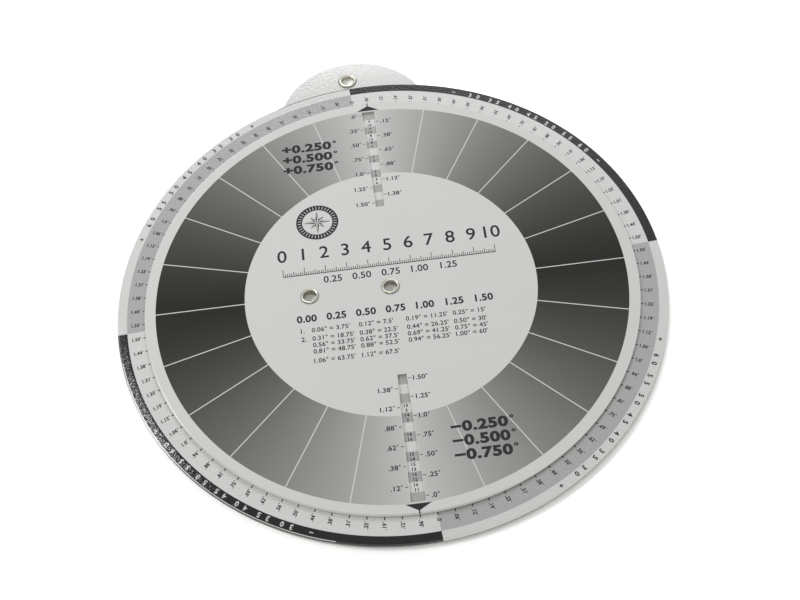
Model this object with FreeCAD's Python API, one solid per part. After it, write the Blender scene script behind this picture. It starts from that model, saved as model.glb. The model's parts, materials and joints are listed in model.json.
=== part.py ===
"""Wheel chart: two tied reading dials that turn on a round chart card with a hanging tab.

Millimetres. The origin is on the pivot's axis, in the middle of the base card's thickness.
+Z is out of the front face and +Y points to the hanging tab.
"""
import FreeCAD, Part
import math
import os

from FreeCAD import Vector

# Thicknesses of the sheets
base_board_thickness = 0.8
dial_board_thickness = 0.6
film_thickness = 0.1
turning_gap = 0.1

# Outline of the base: a disc and a round hanging tab
base_diameter = 254.0
tab_radius = 38.0
tab_height_past_rim = 17.8
hang_hole_below_tab_top = 12.2

# Ring of the base that shows around the dial, with the outer scale on it
scale_ring_width = 12.7

# Reading windows, at the dial's 12 and 6 o'clock
window_to_rim = 5.6
window_to_slot = 6.0
window_outer_width = 6.4
window_inner_width = 4.0

# Eyelets: a thin barrel with both ends rolled over
eyelet_bore_radius = 3.15
eyelet_wall = 0.3
dial_eyelet_roll_radius = 0.575
hang_eyelet_roll_radius = 0.825
tie_eyelet_distance = 37.6
curl_outside_steps = 3
curl_inside_steps = 2

# Clearances round a barrel
punched_hole_clearance = 0.03
pivot_running_clearance = 0.07
slot_clearance = 0.15

# The turning dial: its swing each way from the zero mark, and where it stands at rest
dial_swing = 90.0
steps_in_half_turn = 49
rest_step = -1

# Sizes that follow
base_radius = base_diameter / 2
dial_radius = base_radius - scale_ring_width
hang_hole_height = base_radius + tab_height_past_rim - hang_hole_below_tab_top
barrel_radius = eyelet_bore_radius + eyelet_wall
slot_half_width = barrel_radius + slot_clearance
window_inner_end = tie_eyelet_distance + slot_half_width + window_to_slot
window_outer_end = dial_radius - window_to_rim
rest_angle = rest_step * 180 / steps_in_half_turn

# Heights of the front faces. The back is the same below the middle
base_board_face = base_board_thickness / 2
base_face = base_board_face + film_thickness
dial_inner_face = base_face + turning_gap
dial_board_inner_face = dial_inner_face + film_thickness
dial_board_face = dial_board_inner_face + dial_board_thickness
dial_face = dial_board_face + film_thickness

ORIGIN = Vector(0, 0, 0)
UP = Vector(0, 0, 1)
NINE_O_CLOCK = 180
CUT_HALF_HEIGHT = 2 * dial_face


def prism(face, low, high):
    """Sheet with the outline of a flat face, between two heights."""
    sheet = face.copy()
    sheet.translate(Vector(0, 0, low))
    return sheet.extrude(Vector(0, 0, high - low))


def round_face(radius, x=0, y=0):
    circle = Part.Circle(Vector(x, y, 0), UP, radius)
    return Part.Face(Part.Wire(circle.toShape()))


def punch(face):
    """Cutter that goes through the whole stack."""
    return prism(face, -CUT_HALF_HEIGHT, CUT_HALF_HEIGHT)


def base_outline(low, high):
    """Disc fused with the round tab that stands out past its rim."""
    tab_centre = base_radius + tab_height_past_rim - tab_radius
    disc = prism(round_face(base_radius), low, high)
    tab = prism(round_face(tab_radius, 0, tab_centre), low, high)
    return disc.fuse(tab).removeSplitter()


def arc_slot():
    """Half-round slot in the base that the tie eyelet travels in."""
    sweep = 2 * dial_swing
    start = NINE_O_CLOCK - dial_swing
    low = Vector(0, 0, -CUT_HALF_HEIGHT)
    height = 2 * CUT_HALF_HEIGHT
    sector = Part.makeCylinder(tie_eyelet_distance + slot_half_width, height, low, UP, sweep)
    sector.rotate(ORIGIN, UP, start)
    slot = sector.cut(punch(round_face(tie_eyelet_distance - slot_half_width)))
    for angle in (start, start + sweep):
        x = tie_eyelet_distance * math.cos(math.radians(angle))
        y = tie_eyelet_distance * math.sin(math.radians(angle))
        slot = slot.fuse(punch(round_face(slot_half_width, x, y)))
    return slot


def base_sheet(low, high):
    """One layer of the base, with its pivot hole, arc slot and hanging hole."""
    pivot_hole = punch(round_face(barrel_radius + pivot_running_clearance))
    hang_hole = punch(round_face(barrel_radius + punched_hole_clearance, 0, hang_hole_height))
    return base_outline(low, high).cut([pivot_hole, arc_slot(), hang_hole])


def window_cutter():
    """Wedge-shaped window at 12 o'clock, narrower towards the pivot."""
    outer = window_outer_width / 2
    inner = window_inner_width / 2
    corners = [
        Vector(-inner, window_inner_end, 0),
        Vector(inner, window_inner_end, 0),
        Vector(outer, window_outer_end, 0),
        Vector(-outer, window_outer_end, 0),
    ]
    return punch(Part.Face(Part.makePolygon(corners + corners[:1])))


def dial_sheet(low, high):
    """One layer of a dial, with two windows and two eyelet holes, turned to its place."""
    hole_radius = barrel_radius + punched_hole_clearance
    top_window = window_cutter()
    bottom_window = window_cutter()
    bottom_window.rotate(ORIGIN, UP, 180)
    cutters = [
        top_window,
        bottom_window,
        punch(round_face(hole_radius)),
        punch(round_face(hole_radius, -tie_eyelet_distance, 0)),
    ]
    sheet = prism(round_face(dial_radius), low, high).cut(cutters)
    sheet.rotate(ORIGIN, UP, rest_angle)
    return sheet


def eyelet(half_height, roll_radius):
    """Barrel whose two ends curl outwards and down onto the faces that they clamp."""
    roll_centre = eyelet_bore_radius + roll_radius

    def curl(side, radius, steps):
        """Points of a half circle over one end, from the barrel out to the flange's rim."""
        points = []
        for step in range(steps + 1):
            turn = math.pi * step / steps
            height = half_height + radius * math.sin(turn)
            points.append(Vector(roll_centre - radius * math.cos(turn), 0, side * height))
        return points

    def rolled_end(side):
        """The curl's outside, then its inside back to the barrel."""
        outside = curl(side, roll_radius, curl_outside_steps)
        inside = curl(side, roll_radius - eyelet_wall, curl_inside_steps)
        return outside + inside[::-1]

    outline = rolled_end(1) + rolled_end(-1)[::-1]
    profile = Part.Face(Part.makePolygon(outline + outline[:1]))
    return profile.revolve(ORIGIN, UP, 360)


def hang_eyelet():
    ring = eyelet(base_face, hang_eyelet_roll_radius)
    ring.translate(Vector(0, hang_hole_height, 0))
    return ring


def pivot_eyelet():
    return eyelet(dial_face, dial_eyelet_roll_radius)


def tie_eyelet():
    ring = eyelet(dial_face, dial_eyelet_roll_radius)
    ring.translate(Vector(-tie_eyelet_distance, 0, 0))
    ring.rotate(ORIGIN, UP, rest_angle)
    return ring


def all_pieces():
    return {
        "base_card": base_sheet(-base_board_face, base_board_face),
        "base_front_film": base_sheet(base_board_face, base_face),
        "base_back_film": base_sheet(-base_face, -base_board_face),
        "hang_eyelet": hang_eyelet(),
        "front_dial_card": dial_sheet(dial_board_inner_face, dial_board_face),
        "front_dial_face_film": dial_sheet(dial_board_face, dial_face),
        "front_dial_inner_film": dial_sheet(dial_inner_face, dial_board_inner_face),
        "back_dial_card": dial_sheet(-dial_board_face, -dial_board_inner_face),
        "back_dial_face_film": dial_sheet(-dial_face, -dial_board_face),
        "back_dial_inner_film": dial_sheet(-dial_board_inner_face, -dial_inner_face),
        "pivot_eyelet": pivot_eyelet(),
        "tie_eyelet": tie_eyelet(),
    }


def main():
    os.makedirs("parts", exist_ok=True)
    for name, shape in all_pieces().items():
        solids = shape.Solids
        if len(solids) != 1 or not solids[0].isValid():
            raise RuntimeError(name + " is not one valid solid")
        solids[0].exportStep("parts/" + name + ".step")
        box = solids[0].BoundBox
        print(name, "volume", round(solids[0].Volume, 2), "z", round(box.ZMin, 3), round(box.ZMax, 3))


main()
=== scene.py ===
"""Looks of a wheel chart: printed card discs under a grained clear film, held by rolled eyelets.

Print sizes are in millimetres, as read on the chart's front with the hanging tab up.
"""
import json
import math

import bmesh
import bpy
from mathutils import Matrix, Vector


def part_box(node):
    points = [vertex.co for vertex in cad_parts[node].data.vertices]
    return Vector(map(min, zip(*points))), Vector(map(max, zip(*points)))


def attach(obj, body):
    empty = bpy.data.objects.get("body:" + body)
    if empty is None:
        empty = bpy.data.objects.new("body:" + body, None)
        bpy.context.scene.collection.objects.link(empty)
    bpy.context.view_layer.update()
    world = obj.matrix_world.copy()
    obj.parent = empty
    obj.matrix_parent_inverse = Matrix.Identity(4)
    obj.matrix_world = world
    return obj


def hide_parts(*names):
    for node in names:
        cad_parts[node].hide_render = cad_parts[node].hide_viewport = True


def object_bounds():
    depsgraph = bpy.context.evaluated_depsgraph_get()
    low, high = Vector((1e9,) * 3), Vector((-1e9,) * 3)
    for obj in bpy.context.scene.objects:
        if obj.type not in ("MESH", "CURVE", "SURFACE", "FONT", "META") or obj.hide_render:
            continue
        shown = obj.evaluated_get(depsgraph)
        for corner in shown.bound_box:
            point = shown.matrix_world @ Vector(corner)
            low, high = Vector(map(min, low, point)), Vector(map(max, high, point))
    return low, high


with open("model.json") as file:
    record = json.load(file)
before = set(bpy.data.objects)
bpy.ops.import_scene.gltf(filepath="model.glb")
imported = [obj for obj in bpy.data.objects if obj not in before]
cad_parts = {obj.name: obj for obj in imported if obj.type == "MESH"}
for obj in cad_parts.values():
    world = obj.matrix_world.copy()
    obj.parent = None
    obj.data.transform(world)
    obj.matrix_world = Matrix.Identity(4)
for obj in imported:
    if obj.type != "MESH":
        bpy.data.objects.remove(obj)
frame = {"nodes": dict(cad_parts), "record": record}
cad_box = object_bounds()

MM = 0.001


def box_mm(node):
    low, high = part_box(node)
    return low / MM, high / MM


def centre_mm(node):
    low, high = box_mm(node)
    return (low + high) / 2


# Sizes taken from the frame
base_radius = box_mm("base_front_film")[1].x
base_face = box_mm("base_front_film")[1].z
dial_face = box_mm("front_dial_face_film")[1].z
dial_radius = (box_mm("front_dial_face_film")[1].x - box_mm("front_dial_face_film")[0].x) / 2
bore_radius = frame["record"]["mounts"][0]["dims"]["r_mm"]
tie_centre = centre_mm("tie_eyelet")
dial_turn = math.atan2(tie_centre.y, tie_centre.x) - math.pi

# Ink: how far fills and the figures printed over them stand above the film, and reach into it
fill_height = 0.012
figure_height = 0.02
ink_in_film = 0.01

# Outer scale on the base
marks_per_quarter = 25
mark_step = 180 / 49
mark_value_step = 1 / 16
band_inner_radius = 122.6
scale_inner_radius = 113.4
tick_length = 2.2
tick_past_dial = 1.2
tick_width = 0.5
numeral_cap = 1.75
numeral_bold = 0.055
numeral_squeeze = 0.9
numeral_start_radius = 116.3
band_cap = 2.35
band_bold = 0.045
band_text_radius = 124.5
band_letter_pitch = 1.95
band_numbers = range(30, 61, 5)
band_signs_at = (25, 65)
tab_line_radius = 127.0
tab_line_width = 0.32
tab_line_end = 107.2

# 12 and 6 o'clock, and where the band's quarters start, in degrees
poles = (90, 270)
black_quarters = (0, 180)
white_quarters = (90, 270)

# The black band stops short of the rim. At the lower left, a strip of bare white card inside its outer black
# ring is a painted highlight, the glint of the rolled film edge.
band_short_of_rim = 0.03
painted_highlight_from_edge = 0.78
black_past_highlight = 0.36
painted_highlight_seam = 0.005
painted_highlight_start = 187
painted_highlight_end = 250

# Reading windows and the rings of cells under them
window_inner_end = 47.2
window_outer_end = 108.7
window_outer_width = 6.4
window_inner_width = 4.0
window_margin = 0.3
cell_count = 13
cell_cap = 1.6
cell_bold = 0.045
blank_cells = (0, 5, 7, 10, 11, 12)
cell_upper_limit = 28
cell_upper_step = 5
cell_lower_limit = 16
cell_lower_start = 9
cell_lower_step = 3

# Dial print
fan_inner_radius = 67.8
fan_outer_radius = 109.2
fan_line_width = 0.5
fan_lines = [degrees for degrees in range(0, 180, 15) if degrees != 90]
pointer_base = 109.4
pointer_shoulder = 112.5
pointer_short_of_rim = 0.05
pointer_half_width = 5.6
pointer_tip_width = 0.55
label_cap = 2.3
label_bold = 0.03
label_stretch = 1.08
label_dash = 1.4
label_dash_width = 0.3
label_gap = 2.3
label_value_step = 1 / 8
sign_cap = 4.8
sign_bold = 0.065
sign_steps = 5
sign_width = 27.5
sign_pitch = 6.75
sign_x = -31.5
sign_y = 83.0

# The middle of the front dial: compass rose, rule, rows of values and table
badge_x = -31.0
badge_y = 42.1
badge_radius = 10.2
badge_rim_width = 0.7
badge_ring_inset = 2.4
badge_ring_width = 0.5
badge_tick_ends = (1.2, 8.8)
badge_step = 5
rose_points = (6.3, 4.4)
rose_waist = 1.9
rose_heart = 0.12
rose_line_width = 0.22
rule_x = 0.9
rule_y = 12.3
rule_length = 100
rule_line_width = 0.4
rule_tick_width = 0.3
rule_ticks = {10: 4.2, 5: 2.6, 1: 1.7}
rule_cap = 7.0
rule_bold = 0.012
rule_figures_y = 24.4
row_pitch = 13.6
row_x = 1
row_cap = 3.7
# each row's height, boldness, number of values and first value in quarters
upper_row = (8.45, 0.02, 5, 1)
lower_row = (-12.1, 0.045, 7, 0)
table_rows = (-18.6, -23.1, -26.6, -30.0, -34.9)
table_cap = 2.4
table_bold = 0.02
table_x = -38
table_pitch = 21.5
table_number_cap = 2.5
table_number_x = -43

# Lettering: a capital's height as a share of the font's size, the degree sign, and how strokes are thickened
capital_share = 0.729
degree_share = 0.75
degree_bold = 0.035
degree_gap = 0.12
spacing_per_bold = 1.3
weld_per_cap = 0.006
sharpest_corner = 0.35
ink_weld = 0.001

# Eyelets
eyelet_wall = 0.3
curl_steps_outside = 14
curl_steps_inside = 8
eyelet_steps = 96
eyelet_weld = 0.0005

# Inks and bare card
WHITE = (0.62, 0.626, 0.614)
BLACK = (0.01, 0.0098, 0.0092)
DARK = (0.0175, 0.0175, 0.0175)
GREY = (0.391, 0.396, 0.391)
CELL_GREY = (0.366, 0.376, 0.366)
FAN_LIGHT = (0.757, 0.757, 0.754)
FAN_DARK = (0.106, 0.106, 0.091)
fan_power = 0.93
screen_gamma = 2.2
mottle_scale = 60.0

# Film: what shapes its grain, and its gloss
pebble_smoothness = 0.7
grain_detail = 2.0
grain_gain_at_curl = 0.2
grain_loss_where_calm = 0.6
grain_loss_where_pressed = 0.8
pressed_onset = 3.0
smear_scale = 22.0
film_roughness = 0.1
smear_roughness = 0.12
pressed_roughness = 0.12
film_specular = 0.27
BASE_FILM = dict(
    rim=base_radius, grain=0.095, edge_slope=0.02, edge_sheen=0.5,
    roll_slope=0.35, roll_width=5.0, bend_width=2.0, calm_gloss=0.14,
)
DIAL_FILM = dict(rim=dial_radius, grain=0.02, edge_slope=0.36, edge_sheen=0.04)

# Cut edge of the board
BOARD_PALE = (0.74, 0.73, 0.69)
BOARD_DARK = (0.50, 0.48, 0.44)
BLED_INK = (0.03, 0.03, 0.03)
bled_share = 0.9
ply_scale = 900.0
ply_distortion = 2.0
ply_detail_scale = 3.0
fibre_scale = 2500.0
board_roughness = 0.8
board_bump = 0.02

# Plating of the eyelets: its colour from the bore to the rim, with a painted highlight on the inner slope of
# the curl near its crown, painted shade in the bore and over the outer flange to the rim, and its dull
# patches
PLATING_WITH_PAINTED_LIGHT = (
    (0.0, (0.43, 0.42, 0.35)),
    (0.1, (0.50, 0.49, 0.43)),
    (0.25, (0.72, 0.71, 0.66)),
    (0.42, (0.385, 0.375, 0.325)),
    (0.6, (0.28, 0.275, 0.225)),
    (0.82, (0.25, 0.245, 0.195)),
    (1.0, (0.24, 0.235, 0.19)),
)
patch_scale = 600.0
patch_wander = 0.35
patch_roughness = 0.25
plating_roughness = 0.22
plating_bump = 0.02

# Floor: its real tone and size, how pale it looks, with painted shade that keeps it darker under the chart
# than beside it, and where it turns into the plain white backdrop, in radii of the base
FLOOR = (0.8, 0.8, 0.8)
floor_roughness = 0.9
floor_half_size = 4.0
painted_shade_under_chart = 0.92
painted_shade_to = 0.5
floor_gain = 1.5
floor_gain_from = 0.9
floor_white_from = 2.0
floor_white_to = 4.0

# Light of the room
ROOM = (1.0, 0.99, 0.97)
room_strength = 0.533
PLAIN_WHITE = (1.0, 1.0, 1.0)

# Camera at the photograph's angle: where its axis meets the base's plane, and its lean
camera_aim = Vector((3.08, -7.48, 0.0))
camera_distance = 568.0
camera_azimuth = 84.705
camera_elevation = 56.493
camera_roll = -5.687
camera_lens = 55.518
camera_sensor = 36


# Materials

def link(tree, start, end):
    tree.links.new(start, end)


def node(tree, kind, **settings):
    made = tree.nodes.new(kind)
    for key, value in settings.items():
        setattr(made, key, value)
    return made


def maths(tree, operation, first, second=None):
    """A maths node whose inputs are sockets or plain numbers."""
    made = node(tree, "ShaderNodeMath", operation=operation)
    for place, value in enumerate((first, second)):
        if value is None:
            continue
        if isinstance(value, (int, float)):
            made.inputs[place].default_value = value
        else:
            link(tree, value, made.inputs[place])
    return made.outputs[0]


def noise(tree, place, scale, detail):
    """Soft noise from 0 to 1."""
    made = node(tree, "ShaderNodeTexNoise")
    made.inputs["Scale"].default_value = scale
    made.inputs["Detail"].default_value = detail
    link(tree, place, made.inputs["Vector"])
    return made.outputs["Fac"]


def mix_colours(tree, share, first, second):
    """A colour between two others, each a socket or a plain colour."""
    made = node(tree, "ShaderNodeMix", data_type="RGBA")
    link(tree, share, made.inputs["Factor"])
    for label, colour in (("A", first), ("B", second)):
        if isinstance(colour, tuple):
            made.inputs[label].default_value = (*colour, 1)
        else:
            link(tree, colour, made.inputs[label])
    return made.outputs["Result"]


def roughen(tree, shader, height, distance):
    """Bump on a surface, with a height of 1 standing a distance out of it."""
    bump = node(tree, "ShaderNodeBump")
    bump.inputs["Distance"].default_value = distance
    link(tree, height, bump.inputs["Height"])
    link(tree, bump.outputs["Normal"], shader.inputs["Normal"])


def new_group(name, inputs, outputs):
    """Empty node group with named float and colour sockets."""
    group = bpy.data.node_groups.new(name, "ShaderNodeTree")
    for label, (kind, value) in inputs.items():
        socket = group.interface.new_socket(label, in_out="INPUT", socket_type=kind)
        socket.default_value = value
    for label, kind in outputs.items():
        group.interface.new_socket(label, in_out="OUTPUT", socket_type=kind)
    start = group.nodes.new("NodeGroupInput")
    end = group.nodes.new("NodeGroupOutput")
    return group, start, end


def film_group():
    """Relief of the clear film: its height in metres, and where it is smeared, pressed flat or calm."""
    group, given, made = new_group(
        "film_relief",
        {
            "Grain Size": ("NodeSocketFloat", 0.0009),
            "Grain Height": ("NodeSocketFloat", 0.00003),
            "Rim Radius": ("NodeSocketFloat", 0.127),
            "Tab Bend": ("NodeSocketFloat", 2.5),
            "Curl Towards": ("NodeSocketVector", (-0.906, -0.423, 0)),
            "Roll Width": ("NodeSocketFloat", 0.005),
            "Bend Width": ("NodeSocketFloat", 0.002),
            "Roll Slope": ("NodeSocketFloat", 0.2),
            "Edge Width": ("NodeSocketFloat", 0.0008),
            "Edge Slope": ("NodeSocketFloat", 0.5),
        },
        {
            "Height": "NodeSocketFloat",
            "Smear": "NodeSocketFloat",
            "Pressed": "NodeSocketFloat",
            "Calm": "NodeSocketFloat",
        },
    )
    place = node(group, "ShaderNodeTexCoord").outputs["Object"]
    flat = node(group, "ShaderNodeVectorMath", operation="MULTIPLY")
    flat.inputs[1].default_value = (1, 1, 0)
    link(group, place, flat.inputs[0])
    length = node(group, "ShaderNodeVectorMath", operation="LENGTH")
    link(group, flat.outputs[0], length.inputs[0])
    scale = maths(group, "DIVIDE", 1.0, given.outputs["Grain Size"])
    pebble = node(group, "ShaderNodeTexVoronoi", feature="SMOOTH_F1")
    pebble.inputs["Smoothness"].default_value = pebble_smoothness
    link(group, flat.outputs[0], pebble.inputs["Vector"])
    link(group, scale, pebble.inputs["Scale"])
    fine = node(group, "ShaderNodeTexNoise")
    fine.inputs["Detail"].default_value = grain_detail
    link(group, flat.outputs[0], fine.inputs["Vector"])
    link(group, scale, fine.inputs["Scale"])
    grain = maths(group, "ADD", pebble.outputs["Distance"], fine.outputs["Fac"])
    way = node(group, "ShaderNodeVectorMath", operation="NORMALIZE")
    link(group, flat.outputs[0], way.inputs[0])
    facing = node(group, "ShaderNodeVectorMath", operation="DOT_PRODUCT")
    link(group, way.outputs[0], facing.inputs[0])
    link(group, given.outputs["Curl Towards"], facing.inputs[1])
    share = maths(group, "MAXIMUM", facing.outputs["Value"], 0.0)
    calm = maths(group, "MAXIMUM", maths(group, "MULTIPLY", facing.outputs["Value"], -1.0), 0.0)
    link(group, calm, made.inputs["Calm"])
    coarser = maths(group, "ADD", maths(group, "MULTIPLY", share, grain_gain_at_curl), 1.0)
    coarser = maths(group, "SUBTRACT", coarser, maths(group, "MULTIPLY", calm, grain_loss_where_calm))
    grain = maths(group, "MULTIPLY", grain, maths(group, "MULTIPLY", coarser, given.outputs["Grain Height"]))
    inside = maths(group, "SUBTRACT", given.outputs["Rim Radius"], length.outputs["Value"])
    lip = maths(group, "MAXIMUM", maths(group, "MULTIPLY", inside, -1.0), 0.0)
    lip = maths(group, "MULTIPLY", maths(group, "POWER", lip, 2.0), given.outputs["Tab Bend"])
    past = maths(group, "SUBTRACT", given.outputs["Roll Width"], maths(group, "MAXIMUM", inside, 0.0))
    past = maths(group, "MAXIMUM", past, 0.0)
    bend = maths(group, "MINIMUM", past, given.outputs["Bend Width"])
    curve = maths(group, "DIVIDE", maths(group, "POWER", bend, 2.0), given.outputs["Bend Width"])
    drop = maths(group, "ADD", maths(group, "MULTIPLY", curve, 0.5), maths(group, "SUBTRACT", past, bend))
    drop = maths(group, "MULTIPLY", drop, given.outputs["Roll Slope"])
    edge = maths(group, "SUBTRACT", given.outputs["Edge Width"], maths(group, "MAXIMUM", inside, 0.0))
    edge = maths(group, "MAXIMUM", edge, 0.0)
    curled = maths(group, "MINIMUM", maths(group, "MULTIPLY", share, pressed_onset), 1.0)
    pressed = maths(group, "MULTIPLY", maths(group, "GREATER_THAN", edge, 0.0), curled)
    link(group, pressed, made.inputs["Pressed"])
    smoother = maths(group, "SUBTRACT", 1.0, maths(group, "MULTIPLY", pressed, grain_loss_where_pressed))
    grain = maths(group, "MULTIPLY", grain, smoother)
    edge = maths(group, "MULTIPLY", edge, maths(group, "MULTIPLY", curled, given.outputs["Edge Slope"]))
    drop = maths(group, "MULTIPLY", drop, maths(group, "POWER", share, 2.0))
    sunk = maths(group, "ADD", maths(group, "ADD", drop, edge), lip)
    link(group, maths(group, "SUBTRACT", grain, sunk), made.inputs["Height"])
    link(group, noise(group, flat.outputs[0], smear_scale, 3.0), made.inputs["Smear"])
    return group


def print_group():
    """Printed colour with the slight unevenness of ink on card."""
    group, given, made = new_group(
        "print_tone",
        {"Colour": ("NodeSocketColor", (1, 1, 1, 1)), "Mottle": ("NodeSocketFloat", 0.04)},
        {"Colour": "NodeSocketColor"},
    )
    place = node(group, "ShaderNodeTexCoord").outputs["Object"]
    swing = maths(group, "SUBTRACT", noise(group, place, mottle_scale, 4.0), 0.5)
    level = maths(group, "ADD", 1.0, maths(group, "MULTIPLY", swing, given.outputs["Mottle"]))
    tint = node(group, "ShaderNodeVectorMath", operation="SCALE")
    link(group, given.outputs["Colour"], tint.inputs[0])
    link(group, level, tint.inputs["Scale"])
    link(group, tint.outputs[0], made.inputs["Colour"])
    return group


def fan_group():
    """Tone that darkens evenly with the angle away from the dial's 12 and 6 o'clock."""
    group, given, made = new_group(
        "fan_tone",
        {
            "Light": ("NodeSocketColor", (*FAN_LIGHT, 1)),
            "Dark": ("NodeSocketColor", (*FAN_DARK, 1)),
            "Turn": ("NodeSocketFloat", 0.0),
        },
        {"Colour": "NodeSocketColor"},
    )
    place = node(group, "ShaderNodeTexCoord").outputs["Object"]
    turned = node(group, "ShaderNodeVectorRotate", rotation_type="Z_AXIS")
    link(group, place, turned.inputs["Vector"])
    link(group, maths(group, "MULTIPLY", given.outputs["Turn"], -1.0), turned.inputs["Angle"])
    split = node(group, "ShaderNodeSeparateXYZ")
    link(group, turned.outputs[0], split.inputs[0])
    across = maths(group, "ABSOLUTE", split.outputs["X"])
    along = maths(group, "ABSOLUTE", split.outputs["Y"])
    share = maths(group, "DIVIDE", maths(group, "ARCTAN2", across, along), math.pi / 2)
    share = maths(group, "POWER", share, fan_power)
    blend = mix_colours(group, share, given.outputs["Light"], given.outputs["Dark"])
    screen = node(group, "ShaderNodeGamma")
    screen.inputs["Gamma"].default_value = screen_gamma
    link(group, blend, screen.inputs["Color"])
    link(group, screen.outputs[0], made.inputs["Colour"])
    return group


film_relief = film_group()
print_tone = print_group()
fan_tone = fan_group()


def new_material(name):
    made = bpy.data.materials.new(name)
    made.use_nodes = True
    return made, made.node_tree, made.node_tree.nodes["Principled BSDF"]


def placed(tree, group, **values):
    """A node group in a material, with its own values."""
    made = node(tree, "ShaderNodeGroup", node_tree=group)
    for label, value in values.items():
        made.inputs[label.replace("_", " ").title()].default_value = value
    return made


def film_finish(tree, shader, rim, grain, edge_slope, edge_sheen,
                roll_slope=0.0, roll_width=1.0, bend_width=1.0, calm_gloss=0.0):
    """Satin clear film over the print: grain in the normal, faint smears in the gloss."""
    relief = placed(
        tree, film_relief, grain_height=grain * MM, rim_radius=rim * MM,
        roll_width=roll_width * MM, bend_width=bend_width * MM, roll_slope=roll_slope,
        edge_slope=edge_slope,
    )
    roughen(tree, shader, relief.outputs["Height"], 1.0)
    gloss = maths(tree, "MULTIPLY", relief.outputs["Smear"], smear_roughness)
    pressed = relief.outputs["Pressed"]
    gloss = maths(tree, "ADD", gloss, maths(tree, "MULTIPLY", pressed, pressed_roughness))
    gloss = maths(tree, "ADD", gloss, maths(tree, "MULTIPLY", relief.outputs["Calm"], calm_gloss))
    link(tree, maths(tree, "ADD", gloss, film_roughness), shader.inputs["Roughness"])
    sheen = maths(tree, "ADD", maths(tree, "MULTIPLY", pressed, edge_sheen), film_specular)
    link(tree, sheen, shader.inputs["Specular IOR Level"])


def printed(name, colour, film, mottle=0.04):
    """Ink or bare white card of one colour, seen through the film."""
    made, tree, shader = new_material(name)
    tone = placed(tree, print_tone, colour=(*colour, 1), mottle=mottle)
    link(tree, tone.outputs[0], shader.inputs["Base Color"])
    film_finish(tree, shader, **film)
    return made


def fan_print(name, turn):
    made, tree, shader = new_material(name)
    fan = placed(tree, fan_tone, light=(*FAN_LIGHT, 1), dark=(*FAN_DARK, 1), turn=turn)
    tone = placed(tree, print_tone, mottle=0.05)
    link(tree, fan.outputs[0], tone.inputs["Colour"])
    link(tree, tone.outputs[0], shader.inputs["Base Color"])
    film_finish(tree, shader, **DIAL_FILM)
    return made


def card_edge(name, bled):
    """Cut edge of the board: off-white, with faint plies and fibres, and dark where ink bled over it."""
    made, tree, shader = new_material(name)
    place = node(tree, "ShaderNodeTexCoord").outputs["Object"]
    plies = node(tree, "ShaderNodeTexWave", bands_direction="Z")
    plies.inputs["Scale"].default_value = ply_scale
    plies.inputs["Distortion"].default_value = ply_distortion
    plies.inputs["Detail Scale"].default_value = ply_detail_scale
    link(tree, place, plies.inputs["Vector"])
    fibre = noise(tree, place, fibre_scale, 4.0)
    amount = maths(tree, "MULTIPLY", plies.outputs["Fac"], fibre)
    tone = mix_colours(tree, amount, BOARD_PALE, BOARD_DARK)
    parts = node(tree, "ShaderNodeSeparateXYZ")
    link(tree, place, parts.inputs[0])
    quarter = maths(tree, "MULTIPLY", parts.outputs["X"], parts.outputs["Y"])
    inked = maths(tree, "MULTIPLY", maths(tree, "GREATER_THAN", quarter, 0.0), bled)
    link(tree, mix_colours(tree, inked, tone, BLED_INK), shader.inputs["Base Color"])
    roughen(tree, shader, fibre, board_bump * MM)
    shader.inputs["Roughness"].default_value = board_roughness
    return made


def nickel(name):
    """Plated metal with painted light: a painted highlight along the curl near its crown, and painted shade,
    dull and dark, in its bore and toward its rim.
    """
    made, tree, shader = new_material(name)
    place = node(tree, "ShaderNodeTexCoord").outputs["Object"]
    patches = noise(tree, place, patch_scale, 5.0)
    across = node(tree, "ShaderNodeAttribute", attribute_name="across_flange")
    wander = maths(tree, "MULTIPLY", maths(tree, "SUBTRACT", patches, 0.5), patch_wander)
    # Painted highlight and painted shade: the ramp sets the plating's colour by the place across the flange.
    ramp = node(tree, "ShaderNodeValToRGB")
    link(tree, maths(tree, "ADD", across.outputs["Fac"], wander), ramp.inputs["Fac"])
    stops = ramp.color_ramp.elements
    for position, _ in PLATING_WITH_PAINTED_LIGHT[1:-1]:
        stops.new(position)
    for stop, (_, colour) in zip(stops, PLATING_WITH_PAINTED_LIGHT):
        stop.color = (*colour, 1)
    link(tree, ramp.outputs["Color"], shader.inputs["Base Color"])
    dull = maths(tree, "MULTIPLY", patches, patch_roughness)
    link(tree, maths(tree, "ADD", dull, plating_roughness), shader.inputs["Roughness"])
    roughen(tree, shader, patches, plating_bump * MM)
    shader.inputs["Metallic"].default_value = 1.0
    return made


base_white = printed("base_white_card", WHITE, BASE_FILM)
base_black = printed("base_black_ink", BLACK, BASE_FILM, mottle=0.3)
base_dark = printed("base_dark_ink", DARK, BASE_FILM, mottle=0.2)
base_grey = printed("base_grey_ink", GREY, BASE_FILM)
cell_grey = printed("cell_grey_ink", CELL_GREY, BASE_FILM)
dial_white = printed("dial_white_card", WHITE, DIAL_FILM)
dial_dark = printed("dial_dark_ink", DARK, DIAL_FILM, mottle=0.2)
dial_fan = fan_print("dial_fan_ink", dial_turn)
base_edge = card_edge("base_cut_edge", bled_share)
dial_edge = card_edge("dial_cut_edge", 0.0)
eyelet_nickel = nickel("bright_nickel_plate")


def dress_frame():
    """Better materials on the sheets that the frame brings."""
    for name, piece in frame["nodes"].items():
        if name.endswith("_card"):
            piece.material_slots[0].material = base_edge if name.startswith("base_") else dial_edge
        elif name.startswith("base_"):
            piece.material_slots[0].material = base_white
        elif name.endswith("_film"):
            piece.material_slots[0].material = dial_white


# Ink shapes, flat and in millimetres

def at(x, y, turn=0.0):
    return Matrix.Translation((x, y, 0)) @ Matrix.Rotation(turn, 4, "Z")


def stretched(amount):
    """Figures made wider or narrower."""
    return Matrix.Diagonal((amount, 1, 1, 1))


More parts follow.
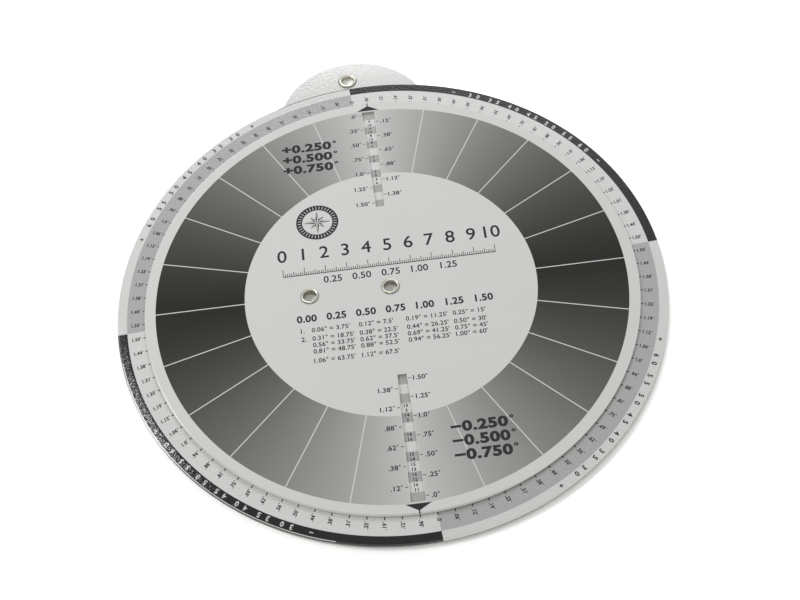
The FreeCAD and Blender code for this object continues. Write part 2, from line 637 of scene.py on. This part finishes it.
def around(radius, degrees):
    """Place on a circle, with +X pointing outwards."""
    angle = math.radians(degrees)
    return at(radius * math.cos(angle), radius * math.sin(angle), angle)


def add_strip(bm, length, width, place):
    """Rectangle, centred on its place, with its length along X."""
    size = Matrix.Diagonal((length, width, 1, 1))
    bmesh.ops.create_grid(bm, x_segments=1, y_segments=1, size=0.5, matrix=place @ size)


def add_band(bm, inner, outer, start, end, step=1.5):
    """Part of a ring, between two angles in degrees."""
    angle = math.radians(start)
    way = Vector((math.cos(angle), math.sin(angle), 0))
    ends = [bm.verts.new(way * inner), bm.verts.new(way * outer)]
    edge = bm.edges.new(ends)
    whole = abs(end - start) >= 360
    bmesh.ops.spin(
        bm, geom=ends + [edge], cent=(0, 0, 0), axis=(0, 0, 1), dvec=(0, 0, 0),
        angle=math.radians(end - start), steps=max(2, round(abs(end - start) / step)),
        use_merge=whole, use_duplicate=False,
    )


lettering_made = {}


def thicken(bm, amount):
    """Grows flat figures outwards, so that their strokes get bolder."""
    moves = []
    for vertex in bm.verts:
        rims = [edge for edge in vertex.link_edges if edge.is_boundary]
        if len(rims) != 2:
            continue
        outward = []
        for edge in rims:
            across = (edge.verts[1].co - edge.verts[0].co).normalized().cross(Vector((0, 0, 1)))
            inner = edge.link_faces[0].calc_center_median() - edge.verts[0].co
            outward.append(-across if across.dot(inner) > 0 else across)
        spread = max(sharpest_corner, 1 + outward[0].dot(outward[1]))
        moves.append((vertex, (outward[0] + outward[1]) * amount / spread))
    for vertex, move in moves:
        vertex.co += move


def lettering(words, cap, bold, steps):
    """Flat mesh of some figures, with its left end and baseline at zero, and its width."""
    key = (words, cap, bold, steps)
    if key not in lettering_made:
        curve = bpy.data.curves.new("figures", "FONT")
        curve.body = words
        curve.resolution_u = steps
        curve.size = cap / capital_share
        curve.space_character = 1 + spacing_per_bold * bold
        shown = bpy.data.objects.new("figures", curve)
        bpy.context.scene.collection.objects.link(shown)
        final = shown.evaluated_get(bpy.context.evaluated_depsgraph_get())
        mesh = bpy.data.meshes.new_from_object(final)
        bpy.data.objects.remove(shown)
        bpy.data.curves.remove(curve)
        bm = bmesh.new()
        bm.from_mesh(mesh)
        bmesh.ops.remove_doubles(bm, verts=bm.verts, dist=weld_per_cap * cap)
        thicken(bm, bold * cap)
        bm.to_mesh(mesh)
        bm.free()
        xs = [v.co.x for v in mesh.vertices]
        mesh.transform(Matrix.Translation((-min(xs), 0, 0)))
        lettering_made[key] = (mesh, max(xs) - min(xs))
    return lettering_made[key]


def add_figures(bm, words, cap, place, side="middle", bold=0.0, steps=3):
    """Figures whose left end, middle or right end is at the place, halfway up their height."""
    mesh, width = lettering(words, cap, bold, steps)
    shift = {"left": 0, "middle": -width / 2, "right": -width}[side]
    copy = mesh.copy()
    copy.transform(place @ Matrix.Translation((shift, -cap / 2, 0)))
    bm.from_mesh(copy)
    bpy.data.meshes.remove(copy)


def new_piece(name, bm, material):
    """Object at the origin, made of a bmesh that is used up."""
    mesh = bpy.data.meshes.new(name)
    bm.to_mesh(mesh)
    bm.free()
    mesh.materials.append(material)
    piece = bpy.data.objects.new(name, mesh)
    bpy.context.scene.collection.objects.link(piece)
    return piece


def ink_piece(name, body, material, draw, height, back=False):
    """Printed layer: a flat drawing given its thickness on the front or back of a card."""
    on_base = body == "base"
    face = base_face if on_base else dial_face
    turn = 0.0 if on_base else dial_turn
    bm = bmesh.new()
    draw(bm)
    bmesh.ops.remove_doubles(bm, verts=bm.verts, dist=ink_weld)
    raised = bmesh.ops.extrude_face_region(bm, geom=bm.faces[:])["geom"]
    tops = [part for part in raised if isinstance(part, bmesh.types.BMVert)]
    bmesh.ops.translate(bm, vec=(0, 0, height + ink_in_film), verts=tops)
    bmesh.ops.recalc_face_normals(bm, faces=bm.faces)
    place = Matrix.Rotation(turn, 4, "Z")
    if back:
        place = place @ Matrix.Rotation(math.pi, 4, "Y")
    place = place @ Matrix.Translation((0, 0, face - ink_in_film))
    bm.transform(Matrix.Scale(MM, 4) @ place)
    for part in bm.faces:
        part.smooth = False
    piece = new_piece(name, bm, material)
    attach(piece, body)


# The base's print

def draw_black_band(bm):
    """Two black quarters. The second has a strip of bare white card near its edge, a painted highlight of
    the rolled film edge, inside a thin outer black ring.
    """
    whole, split = black_quarters
    edge = base_radius - band_short_of_rim
    highlight_inner = edge - painted_highlight_from_edge
    highlight_outer = edge - black_past_highlight
    add_band(bm, band_inner_radius, edge, whole, whole + 90)
    # Painted highlight: a strip of the second quarter is left bare, so white card shows like a glint on the
    # rolled film edge. Outside its angles the strip is filled black.
    add_band(bm, band_inner_radius, highlight_inner, split, split + 90)
    add_band(bm, highlight_outer, edge, split, split + 90)
    for start, end in ((split, painted_highlight_start), (painted_highlight_end, split + 90)):
        add_band(bm, highlight_inner + painted_highlight_seam, highlight_outer - painted_highlight_seam, start, end)


def draw_grey_scale(bm):
    for start in white_quarters:
        add_band(bm, scale_inner_radius, band_inner_radius, start, start + 90)


def quarter_marks():
    """Angle and value of each mark, from 12 and 6 o'clock outwards both ways."""
    for pole in poles:
        for way in (1, -1):
            for number in range(marks_per_quarter):
                if number or way > 0:
                    yield pole + way * number * mark_step, number * mark_value_step


def value_text(value):
    """Two decimals with no leading zero, or one for a whole number."""
    words = "%.1f" % value if value in (0, 1) else "%.2f" % value
    return words.lstrip("0")


def degrees_width(words, cap, bold, steps):
    """Width of some figures with their degree sign."""
    ring = lettering("°", degree_share * cap, degree_bold, steps)[1]
    return lettering(words, cap, bold, steps)[1] + ring + degree_gap * cap


def add_degrees(bm, words, cap, place, side, bold, steps=3):
    """Figures with a small raised degree sign, their left end, middle or right end at the place."""
    width = degrees_width(words, cap, bold, steps)
    ring = degree_share * cap
    start = {"left": 0, "middle": -width / 2, "right": -width}[side]
    add_figures(bm, words, cap, place @ at(start, 0), "left", bold, steps)
    raised = at(start + width, (cap - ring) / 2)
    add_figures(bm, "°", ring, place @ raised, "right", degree_bold, steps)


def draw_scale(bm):
    """Ticks and values of the outer scale, the values upright on both sides."""
    middle = dial_radius + tick_past_dial - tick_length / 2
    for angle, value in quarter_marks():
        add_strip(bm, tick_length, tick_width, around(middle, angle))
        place = around(numeral_start_radius, angle) @ stretched(numeral_squeeze)
        side = "left"
        if math.cos(math.radians(angle)) < 1e-6:
            place = place @ at(0, 0, math.pi)
            side = "right"
        add_degrees(bm, value_text(value), numeral_cap, place, side, numeral_bold)


def band_figures(bm, way, sign):
    """Plain degrees along two quarters of the band, counted one way from 12 and 6 o'clock."""
    upright = at(0, 0, -math.pi / 2)
    for pole in poles:
        for number in band_numbers:
            middle = pole + way * number
            for position, figure in enumerate(str(number)):
                angle = middle + (0.5 - position) * band_letter_pitch
                add_figures(bm, figure, band_cap, around(band_text_radius, angle) @ upright, bold=band_bold)
        for number in band_signs_at:
            place = around(band_text_radius, pole + way * number) @ upright
            add_figures(bm, sign, band_cap, place, bold=band_bold)


def draw_band_on_black(bm):
    band_figures(bm, -1, "−")


def draw_band_on_white(bm):
    band_figures(bm, 1, "+")


def draw_tab_line(bm):
    """Thin line that runs on from the black band over the foot of the tab."""
    half = tab_line_width / 2
    add_band(bm, tab_line_radius - half, tab_line_radius + half, poles[0], tab_line_end)


cell_length = (window_outer_end - window_inner_end) / cell_count


def cell_centre(number):
    return window_outer_end - (number + 0.5) * cell_length


def draw_cell_rings(bm):
    for number in range(0, cell_count, 2):
        middle = cell_centre(number)
        add_band(bm, middle - cell_length / 2, middle + cell_length / 2, 0, 360)


def cell_values(column, number):
    """Upper and lower number of a cell, by a plain rule."""
    upper = cell_upper_limit - 1 - number // 3 + cell_upper_step * column
    lower = cell_lower_start + number + cell_lower_step * column
    return upper % cell_upper_limit + 1, lower % cell_lower_limit + 1


def draw_cell_figures(bm):
    """Pairs of plain numbers that come up in the windows, for every place of the dial."""
    for column in range(round(360 / mark_step)):
        angle = poles[0] + column * mark_step
        half = 1 if math.sin(math.radians(angle)) >= 0 else -1
        for number in range(cell_count):
            if number in blank_cells:
                continue
            for value, side in zip(cell_values(column, number), (1, -1)):
                middle = cell_centre(number) + side * half * cell_length / 4
                place = around(middle, angle) @ at(0, 0, -half * math.pi / 2)
                add_figures(bm, str(value), cell_cap, place, bold=cell_bold, steps=1)


# The dial's print

def window_half_width(height):
    """Half of the window's width at a distance from the pivot."""
    share = (height - window_inner_end) / (window_outer_end - window_inner_end)
    return (window_inner_width + share * (window_outer_width - window_inner_width)) / 2


def cut_across(bm, point, normal):
    parts = bm.verts[:] + bm.edges[:] + bm.faces[:]
    bmesh.ops.bisect_plane(bm, geom=parts, plane_co=point, plane_no=normal)


def draw_fan(bm):
    """Ring cut by thin radial gaps and by the two windows."""
    add_band(bm, fan_inner_radius, fan_outer_radius, 0, 360)
    for degrees in fan_lines:
        angle = math.radians(degrees)
        across = Vector((-math.sin(angle), math.cos(angle), 0))
        for side in (-1, 1):
            cut_across(bm, across * side * fan_line_width / 2, across)
    slope = (window_outer_width - window_inner_width) / 2 / (window_outer_end - window_inner_end)
    for pole in (-1, 1):
        for side in (-1, 1):
            corner = Vector((side * (window_inner_width / 2 + window_margin), pole * window_inner_end, 0))
            cut_across(bm, corner, Vector((side, -pole * slope, 0)))
    gone = [face for face in bm.faces if in_gap(face.calc_center_median())]
    bmesh.ops.delete(bm, geom=gone, context="FACES")


def in_gap(point):
    """True on a radial line or within a window and its bare margin."""
    if abs(point.x) < window_half_width(abs(point.y)) + window_margin and abs(point.y) > window_inner_end:
        return True
    for degrees in fan_lines:
        angle = math.radians(degrees)
        if abs(point.y * math.cos(angle) - point.x * math.sin(angle)) < fan_line_width / 2:
            return True
    return False


def draw_pointers(bm):
    """Broad triangles with a fine tip that reaches almost to the dial's rim."""
    tip = pointer_tip_width / 2
    rim = dial_radius - pointer_short_of_rim
    for pole in (1, -1):
        corners = [
            (-pointer_half_width, pointer_base),
            (pointer_half_width, pointer_base),
            (tip, pointer_shoulder),
            (tip, rim),
            (-tip, rim),
            (-tip, pointer_shoulder),
        ]
        bm.faces.new([bm.verts.new((x * pole, y * pole, 0)) for x, y in corners])


def draw_labels(bm):
    """Values beside the windows, on alternate sides, each with a short dash."""
    for pole in (1, -1):
        for number in range(cell_count):
            height = cell_centre(number)
            side = -pole if number % 2 == 0 else pole
            edge = window_half_width(height) + window_margin
            middle = side * (edge + label_dash / 2)
            add_strip(bm, label_dash, label_dash_width, at(middle, pole * height))
            align = "right" if side < 0 else "left"
            place = at(side * (edge + label_gap), pole * height) @ stretched(label_stretch)
            words = value_text(number * label_value_step)
            add_degrees(bm, words, label_cap, place, align, label_bold, steps=4)


def draw_signs(bm):
    """Three rows of signed values in each half of the fan."""
    for pole, sign in ((1, "+"), (-1, "−")):
        for row in range(3):
            words = sign + "%.3f" % ((row + 1) / 4)
            place = at(pole * sign_x, pole * sign_y + (1 - row) * sign_pitch)
            width = degrees_width(words, sign_cap, sign_bold, sign_steps)
            place = place @ stretched(sign_width / width)
            add_degrees(bm, words, sign_cap, place, "middle", sign_bold, sign_steps)


def draw_badge(bm):
    """Plain compass rose within a dark ring of tens of degrees."""
    rose = bmesh.new()
    rim = badge_radius - badge_rim_width
    ring = badge_radius - badge_ring_inset
    add_band(rose, rim, badge_radius, 0, 360, badge_step)
    add_band(rose, ring - badge_ring_width, ring, 0, 360, badge_step)
    for degrees in range(0, 360, 10):
        add_band(rose, ring, rim, *(degrees + end for end in badge_tick_ends))
    for number in range(8):
        heading = number * 45
        for side in (-1, 1):
            corner = around(rose_waist, heading + side * 22.5).to_translation()
            tip = around(rose_points[number % 2], heading).to_translation()
            if side > 0:
                heart = around(rose_heart, heading + 11.25).to_translation()
                rose.faces.new([rose.verts.new(point) for point in (heart, tip, corner)])
            else:
                across = tip - corner
                middle = (tip + corner) / 2
                place = at(middle.x, middle.y, math.atan2(across.y, across.x))
                add_strip(rose, across.length, rose_line_width, place)
    rose.transform(at(badge_x, badge_y))
    mesh = bpy.data.meshes.new("rose")
    rose.to_mesh(mesh)
    rose.free()
    bm.from_mesh(mesh)


def draw_rule(bm):
    """A plain centimetre rule with large figures over it."""
    add_strip(bm, rule_length, rule_line_width, at(rule_x, rule_y))
    for number in range(rule_length + 1):
        height = next(length for every, length in rule_ticks.items() if number % every == 0)
        x = number - rule_length / 2 + rule_x
        add_strip(bm, height, rule_tick_width, at(x, rule_y + height / 2, math.pi / 2))
        if number % 10 == 0:
            add_figures(bm, str(number // 10), rule_cap, at(x, rule_figures_y), bold=rule_bold, steps=6)


def draw_headings(bm):
    """Two rows of quarters in bolder figures."""
    for y, bold, count, first in (upper_row, lower_row):
        for number in range(count):
            place = at((number - count // 2) * row_pitch + row_x, y)
            add_figures(bm, "%.2f" % ((number + first) / 4), row_cap, place, bold=bold, steps=5)


def draw_table(bm):
    """Sixteenths of a degree in minutes, four to a row."""
    for row, y in enumerate(table_rows):
        if row < 2:
            number = "%d." % (row + 1)
            add_figures(bm, number, table_number_cap, at(table_number_x, y), "left", table_bold)
        for column in range(4 if row < 4 else 2):
            share = (row * 4 + column + 1) / 16
            words = "%.2f° = %g'" % (share, share * 60)
            place = at(table_x + column * table_pitch, y)
            add_figures(bm, words, table_cap, place, "left", table_bold)


# Name, body, ink, drawing and height of each print that both sides of the chart carry
PRINTS = (
    ("black_band", "base", base_black, draw_black_band, fill_height),
    ("grey_scale_band", "base", base_grey, draw_grey_scale, fill_height),
    ("cell_rings", "base", cell_grey, draw_cell_rings, fill_height),
    ("cell_figures", "base", base_dark, draw_cell_figures, figure_height),
    ("scale_figures", "base", base_dark, draw_scale, figure_height),
    ("dark_band_figures", "base", base_dark, draw_band_on_white, figure_height),
    ("white_band_figures", "base", base_white, draw_band_on_black, figure_height),
    ("fan", "dial", dial_fan, draw_fan, fill_height),
    ("pointers", "dial", dial_dark, draw_pointers, figure_height),
    ("window_labels", "dial", dial_dark, draw_labels, figure_height),
    ("sign_figures", "dial", dial_dark, draw_signs, figure_height),
    ("rule", "dial", dial_dark, draw_rule, figure_height),
    ("headings", "dial", dial_dark, draw_headings, figure_height),
    ("table", "dial", dial_dark, draw_table, figure_height),
)


def print_chart():
    for side in ("front_", "back_"):
        for name, body, ink, draw, height in PRINTS:
            ink_piece(side + name, body, ink, draw, height, side == "back_")
    ink_piece("front_tab_line", "base", base_dark, draw_tab_line, figure_height)
    ink_piece("front_badge", "dial", dial_dark, draw_badge, figure_height)


# Eyelets

def eyelet(name, node_name):
    """Rolled eyelet spun from its section, in the place of the plainer one."""
    low, high = box_mm(node_name)
    middle = (low + high) / 2
    flange = (high.x - low.x) / 2
    roll = (flange - bore_radius) / 2
    face = base_face if node_name == "hang_eyelet" else dial_face
    crown = high.z - face
    section = []

    def curl(side, across, up, steps):
        """Half a turn from the bore over to the flange's rim, as points across and up."""
        points = []
        for step in range(steps + 1):
            angle = math.pi * step / steps
            x = bore_radius + roll - across * math.cos(angle)
            points.append((x, side * (face + up * math.sin(angle))))
        return points

    for side in (1, -1):
        outside = curl(side, roll, crown, curl_steps_outside)
        inside = curl(side, roll - eyelet_wall, crown - eyelet_wall, curl_steps_inside)
        end = outside + inside[::-1]
        section += end if side > 0 else end[::-1]
    bm = bmesh.new()
    points = [bm.verts.new((x, 0, z)) for x, z in section]
    edges = [bm.edges.new((a, b)) for a, b in zip(points, points[1:] + points[:1])]
    bmesh.ops.spin(
        bm, geom=points + edges, cent=(0, 0, 0), axis=(0, 0, 1), dvec=(0, 0, 0),
        angle=2 * math.pi, steps=eyelet_steps, use_merge=True, use_duplicate=False,
    )
    bmesh.ops.remove_doubles(bm, verts=bm.verts, dist=eyelet_weld)
    bmesh.ops.recalc_face_normals(bm, faces=bm.faces)
    bm.transform(Matrix.Scale(MM, 4) @ Matrix.Translation((middle.x, middle.y, 0)))
    for part in bm.faces:
        part.smooth = True
    piece = new_piece(name, bm, eyelet_nickel)
    across = piece.data.attributes.new("across_flange", "FLOAT", "POINT")
    for vertex, share in zip(piece.data.vertices, across.data):
        from_axis = (vertex.co / MM - middle).to_2d().length
        share.value = (from_axis - bore_radius) / (flange - bore_radius)
    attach(piece, "base" if node_name == "hang_eyelet" else "dial")
    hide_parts(node_name)


# Studio

def mix_shaders(tree, share, first, second):
    made = node(tree, "ShaderNodeMixShader")
    link(tree, share, made.inputs["Fac"])
    link(tree, first, made.inputs[1])
    link(tree, second, made.inputs[2])
    return made.outputs[0]


def pale_only(tree, plain, pale):
    """Shows the pale shader to the camera and in reflections, and the plain one to the light."""
    path = node(tree, "ShaderNodeLightPath")
    seen = maths(tree, "MAXIMUM", path.outputs["Is Camera Ray"], path.outputs["Is Glossy Ray"])
    seen = maths(tree, "MAXIMUM", seen, path.outputs["Is Transmission Ray"])
    return mix_shaders(tree, seen, plain, pale)


def by_distance(tree, away, start, end, first=0.0, last=1.0):
    """Value that changes between two distances from the pivot, given in radii of the base."""
    made = node(tree, "ShaderNodeMapRange")
    link(tree, away, made.inputs["Value"])
    made.inputs["From Min"].default_value = start * base_radius * MM
    made.inputs["From Max"].default_value = end * base_radius * MM
    made.inputs["To Min"].default_value = first
    made.inputs["To Max"].default_value = last
    return made.outputs["Result"]


def make_floor():
    """Pale floor that keeps the chart's shadow, with painted shade under the chart, and is see-through from
    below.
    """
    made, tree, shader = new_material("pale_floor")
    shader.inputs["Base Color"].default_value = (*FLOOR, 1)
    shader.inputs["Roughness"].default_value = floor_roughness
    shader.inputs["Specular IOR Level"].default_value = 0.0
    place = node(tree, "ShaderNodeTexCoord").outputs["Object"]
    distance = node(tree, "ShaderNodeVectorMath", operation="LENGTH")
    link(tree, place, distance.inputs[0])
    away = distance.outputs["Value"]
    # Painted shade: the floor is shown darker under the chart than beside it, where it is seen through the
    # bores.
    level = by_distance(tree, away, painted_shade_to, floor_gain_from, painted_shade_under_chart, floor_gain)
    bright = node(tree, "ShaderNodeBsdfDiffuse")
    link(tree, level, bright.inputs["Color"])
    white = node(tree, "ShaderNodeEmission")
    white.inputs["Color"].default_value = (*PLAIN_WHITE, 1)
    distant = by_distance(tree, away, floor_white_from, floor_white_to)
    backdrop = mix_shaders(tree, distant, bright.outputs[0], white.outputs[0])
    above = pale_only(tree, shader.outputs[0], backdrop)
    below = node(tree, "ShaderNodeBsdfTransparent").outputs[0]
    backfacing = node(tree, "ShaderNodeNewGeometry").outputs["Backfacing"]
    one_sided = mix_shaders(tree, backfacing, above, below)
    link(tree, one_sided, tree.nodes["Material Output"].inputs["Surface"])
    bm = bmesh.new()
    under = Matrix.Translation((0, 0, cad_box[0].z))
    bmesh.ops.create_grid(bm, x_segments=2, y_segments=2, size=floor_half_size, matrix=under)
    floor = new_piece("floor", bm, made)


def make_world():
    """Soft even light, seen as plain white."""
    world = bpy.data.worlds.new("studio")
    world.use_nodes = True
    bpy.context.scene.world = world
    tree = world.node_tree
    soft = tree.nodes["Background"]
    soft.inputs["Color"].default_value = (*ROOM, 1)
    soft.inputs["Strength"].default_value = room_strength
    white = node(tree, "ShaderNodeBackground")
    white.inputs["Color"].default_value = (*PLAIN_WHITE, 1)
    white.inputs["Strength"].default_value = 1.0
    shown = pale_only(tree, soft.outputs[0], white.outputs[0])
    link(tree, shown, tree.nodes["World Output"].inputs["Surface"])


def direction(azimuth, elevation):
    """Unit vector at an azimuth from +X and an elevation, in degrees."""
    a = math.radians(azimuth)
    e = math.radians(elevation)
    return Vector((math.cos(a) * math.cos(e), math.sin(a) * math.cos(e), math.sin(e)))


def make_lamp(name, azimuth, elevation, distance, size, power, colour):
    """Oblong soft lamp, aimed at the pivot."""
    data = bpy.data.lights.new(name, "AREA")
    data.shape = "RECTANGLE"
    data.size = size[0]
    data.size_y = size[1]
    data.energy = power
    data.color = colour
    lamp = bpy.data.objects.new(name, data)
    way = direction(azimuth, elevation)
    lamp.location = way * distance
    lamp.rotation_mode = "QUATERNION"
    lamp.rotation_quaternion = (-way).to_track_quat("-Z", "Y")
    bpy.context.scene.collection.objects.link(lamp)


def make_camera():
    data = bpy.data.cameras.new("camera")
    data.sensor_width = camera_sensor
    data.lens = camera_lens
    camera = bpy.data.objects.new("camera", data)
    forward = direction(camera_azimuth, -camera_elevation)
    level = forward.to_track_quat("-Z", "Y").to_matrix().to_4x4()
    spot = Matrix.Translation((camera_aim - forward * camera_distance) * MM)
    camera.matrix_world = spot @ level @ Matrix.Rotation(math.radians(camera_roll), 4, "Z")
    bpy.context.scene.collection.objects.link(camera)
    bpy.context.scene.camera = camera


bpy.context.scene.view_settings.view_transform = "Standard"
dress_frame()
print_chart()
for short in ("pivot", "tie", "hang"):
    eyelet(short + "_rolled_eyelet", short + "_eyelet")
make_floor()
make_world()
make_lamp(
    "key", azimuth=74, elevation=27, distance=1.7,
    size=(0.95, 0.6), power=16.5, colour=(0.97, 0.99, 1.0),
)
make_lamp(
    "side", azimuth=163, elevation=41, distance=1.0,
    size=(0.3, 0.06), power=2.95, colour=PLAIN_WHITE,
)
make_camera()
